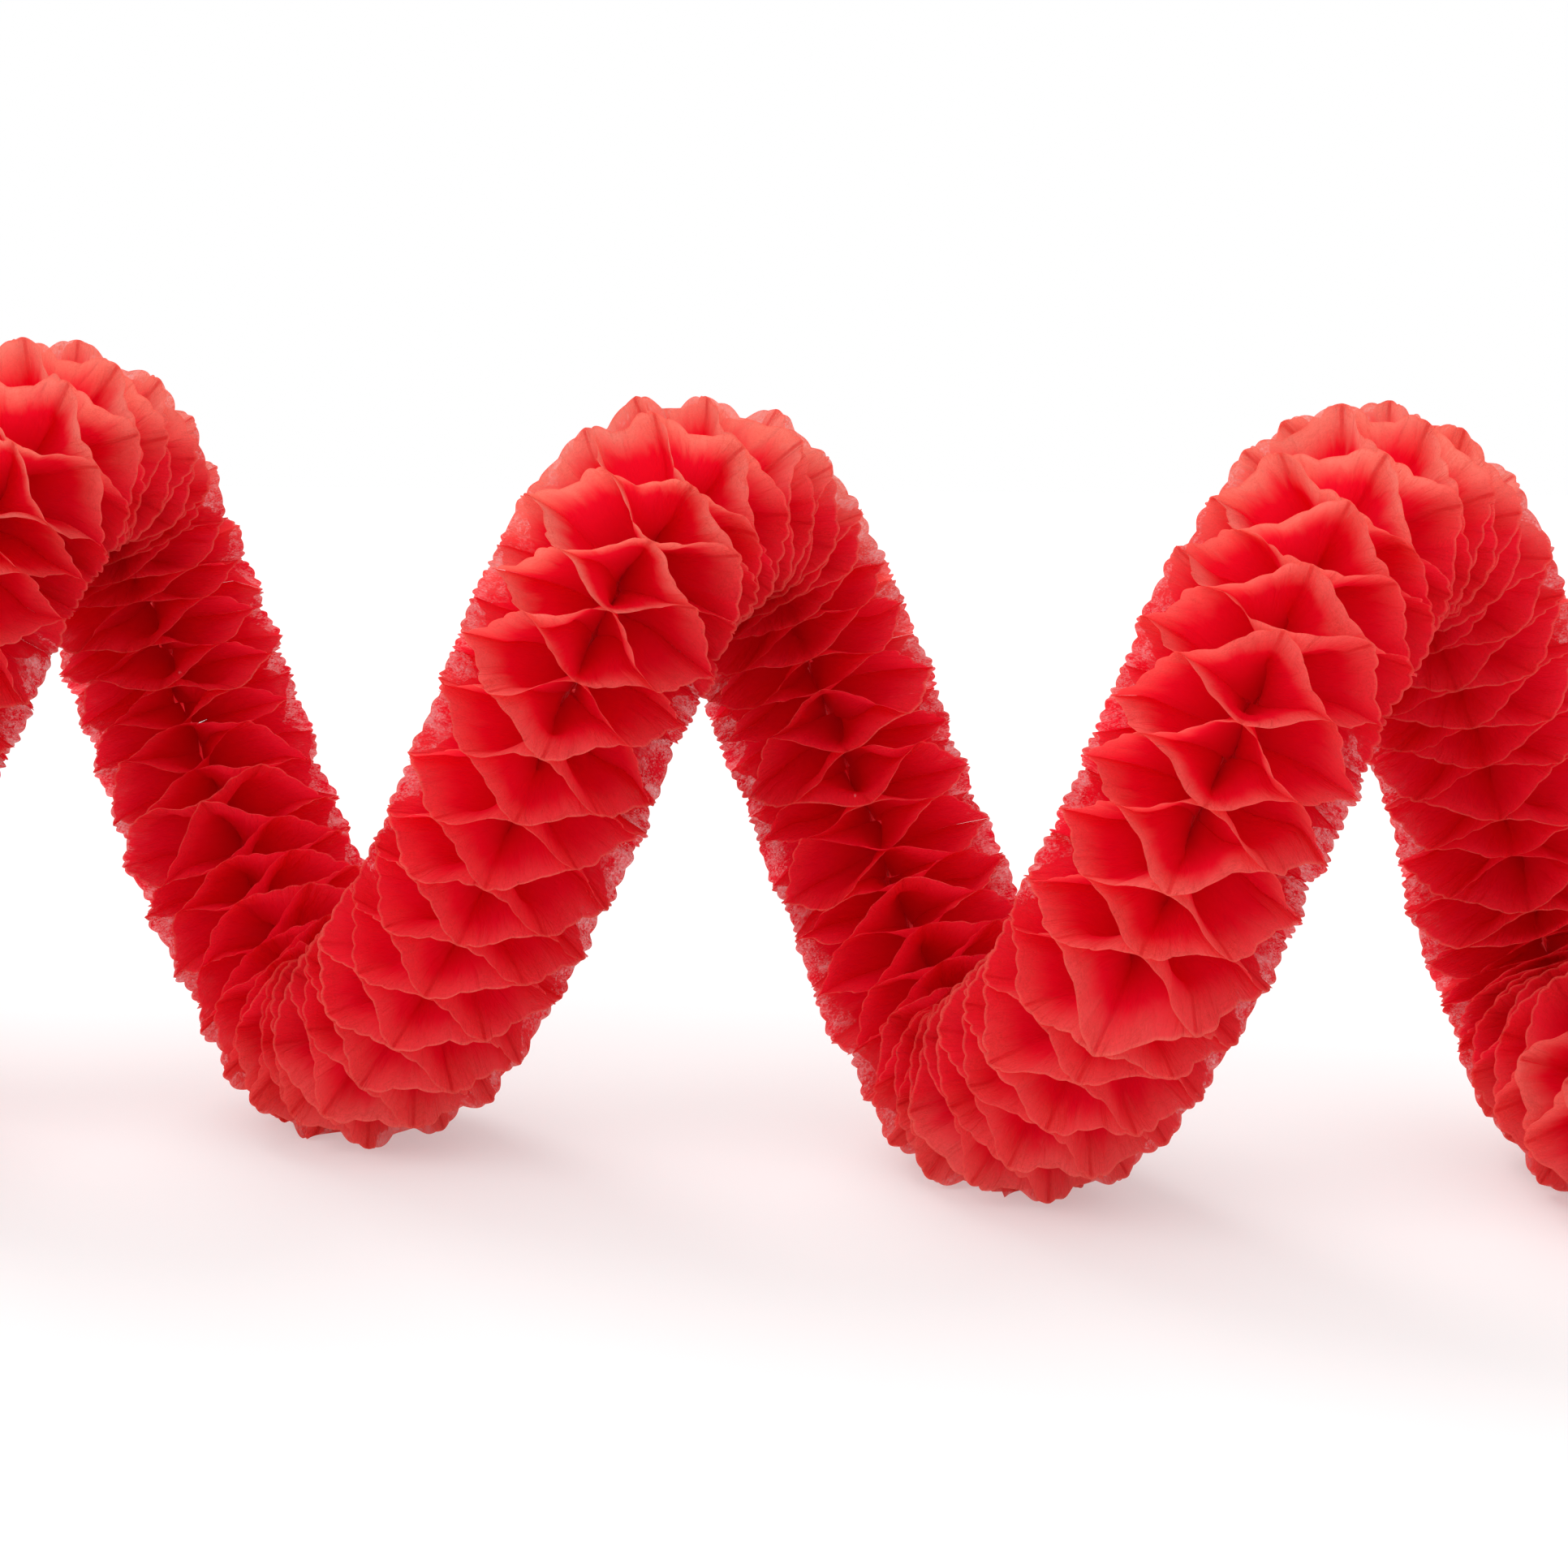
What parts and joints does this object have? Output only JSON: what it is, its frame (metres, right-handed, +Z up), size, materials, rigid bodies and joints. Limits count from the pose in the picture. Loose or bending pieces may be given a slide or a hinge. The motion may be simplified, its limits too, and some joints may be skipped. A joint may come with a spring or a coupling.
{
  "type": "tissue paper garland",
  "caption": "Red honeycomb tissue paper garland standing on a table as an upright coil. It bends and stretches, and a card board closes each end.",
  "frame": {"origin": "on the table, under the centre of the garland's box", "axes": "+X along the coil, +Z up, -Y to the front"},
  "size_m": [1.416, 0.3378, 0.4703],
  "materials": {
    "tissue": "thin translucent red tissue paper, matt",
    "card": "red card board, matt"
  },
  "bodies": {
    "left_tail": {"end_board_left": "card", "tissue_section_01": "tissue", "tissue_section_02": "tissue", "tissue_section_03": "tissue"},
    "limb_1_lower": {"tissue_section_04": "tissue", "tissue_section_05": "tissue", "tissue_section_06": "tissue"},
    "limb_1_upper": {"tissue_section_07": "tissue", "tissue_section_08": "tissue", "tissue_section_09": "tissue"},
    "limb_2_upper": {"tissue_section_10": "tissue", "tissue_section_11": "tissue", "tissue_section_12": "tissue", "tissue_section_13": "tissue", "tissue_section_14": "tissue"},
    "limb_2_lower": {"tissue_section_15": "tissue", "tissue_section_16": "tissue", "tissue_section_17": "tissue", "tissue_section_18": "tissue"},
    "limb_3_lower": {"tissue_section_19": "tissue", "tissue_section_20": "tissue", "tissue_section_21": "tissue", "tissue_section_22": "tissue"},
    "limb_3_upper": {"tissue_section_23": "tissue", "tissue_section_24": "tissue", "tissue_section_25": "tissue"},
    "limb_4_upper": {"tissue_section_26": "tissue", "tissue_section_27": "tissue", "tissue_section_28": "tissue"},
    "limb_4_lower": {"tissue_section_29": "tissue", "tissue_section_30": "tissue", "tissue_section_31": "tissue", "tissue_section_32": "tissue"},
    "limb_5_lower": {"tissue_section_33": "tissue", "tissue_section_34": "tissue", "tissue_section_35": "tissue", "tissue_section_36": "tissue"},
    "limb_5_upper": {"tissue_section_37": "tissue", "tissue_section_38": "tissue", "tissue_section_39": "tissue"},
    "limb_6_upper": {"tissue_section_40": "tissue", "tissue_section_41": "tissue", "tissue_section_42": "tissue"},
    "limb_6_lower": {"tissue_section_43": "tissue", "tissue_section_44": "tissue", "tissue_section_45": "tissue", "tissue_section_46": "tissue"},
    "right_tail": {"end_board_right": "card", "tissue_section_47": "tissue", "tissue_section_48": "tissue", "tissue_section_49": "tissue"}
  },
  "joints": [
    {"name": "trough_1_bend", "type": "hinge", "parent": "limb_1_lower", "child": "left_tail", "pos_m": [-0.55553, 0.03307, 0.12485], "axis": [-0.6958, -0.5665, 0.4415], "range_deg": [-15, 30], "deforming": ["tissue_section_03", "tissue_section_04"]},
    {"name": "limb_1_stretch", "type": "slide", "parent": "limb_1_upper", "child": "limb_1_lower", "axis": [-0.4664, 0.0506, -0.8831], "range_m": [-0.04, 0.04], "deforming": ["tissue_section_06", "tissue_section_07"]},
    {"name": "crest_1_bend", "type": "hinge", "parent": "limb_2_upper", "child": "limb_1_upper", "pos_m": [-0.38294, 0.02049, 0.32714], "axis": [-0.9226, 0.0279, 0.3848], "range_deg": [-15, 30], "deforming": ["tissue_section_09", "tissue_section_10"]},
    {"name": "limb_2_stretch", "type": "slide", "parent": "limb_2_lower", "child": "limb_2_upper", "axis": [-0.3596, 0.1371, 0.923], "range_m": [-0.04, 0.04], "deforming": ["tissue_section_14", "tissue_section_15"]},
    {"name": "trough_2_bend", "type": "hinge", "parent": "limb_3_lower", "child": "limb_2_lower", "pos_m": [-0.16795, 0.0128, 0.11029], "axis": [-0.5382, -0.8396, 0.0732], "range_deg": [-15, 30], "deforming": ["tissue_section_18", "tissue_section_19"]},
    {"name": "limb_3_stretch", "type": "slide", "parent": "limb_3_upper", "child": "limb_3_lower", "axis": [-0.4019, -0.0001, -0.9157], "range_m": [-0.04, 0.04], "deforming": ["tissue_section_22", "tissue_section_23"]},
    {"name": "crest_2_bend", "type": "hinge", "parent": "limb_4_upper", "child": "limb_3_upper", "pos_m": [0.04247, 0.0188, 0.3199], "axis": [-0.8174, 0.5731, -0.0584], "range_deg": [-15, 30], "deforming": ["tissue_section_25", "tissue_section_26"]},
    {"name": "limb_4_stretch", "type": "slide", "parent": "limb_4_upper", "child": "limb_4_lower", "axis": [0.3708, -0.1038, -0.9229], "range_m": [-0.04, 0.04], "deforming": ["tissue_section_28", "tissue_section_29"]},
    {"name": "trough_3_bend", "type": "hinge", "parent": "limb_4_lower", "child": "limb_5_lower", "pos_m": [0.22455, -0.01888, 0.10893], "axis": [0.7514, 0.659, 0.0342], "range_deg": [-15, 30], "deforming": ["tissue_section_32", "tissue_section_33"]},
    {"name": "limb_5_stretch", "type": "slide", "parent": "limb_5_lower", "child": "limb_5_upper", "axis": [0.363, 0.1607, 0.9178], "range_m": [-0.04, 0.04], "deforming": ["tissue_section_36", "tissue_section_37"]},
    {"name": "crest_3_bend", "type": "hinge", "parent": "limb_5_upper", "child": "limb_6_upper", "pos_m": [0.41336, -0.01002, 0.32085], "axis": [0.7731, -0.6316, 0.0578], "range_deg": [-15, 30], "deforming": ["tissue_section_39", "tissue_section_40"]},
    {"name": "limb_6_stretch", "type": "slide", "parent": "limb_6_upper", "child": "limb_6_lower", "axis": [0.3559, 0.2111, -0.9104], "range_m": [-0.04, 0.04], "deforming": ["tissue_section_42", "tissue_section_43"]},
    {"name": "trough_4_bend", "type": "hinge", "parent": "limb_6_lower", "child": "right_tail", "pos_m": [0.60732, 0.00287, 0.12242], "axis": [0.6594, 0.5792, -0.4793], "range_deg": [-15, 30], "deforming": ["tissue_section_46", "tissue_section_47"]}
  ]
}
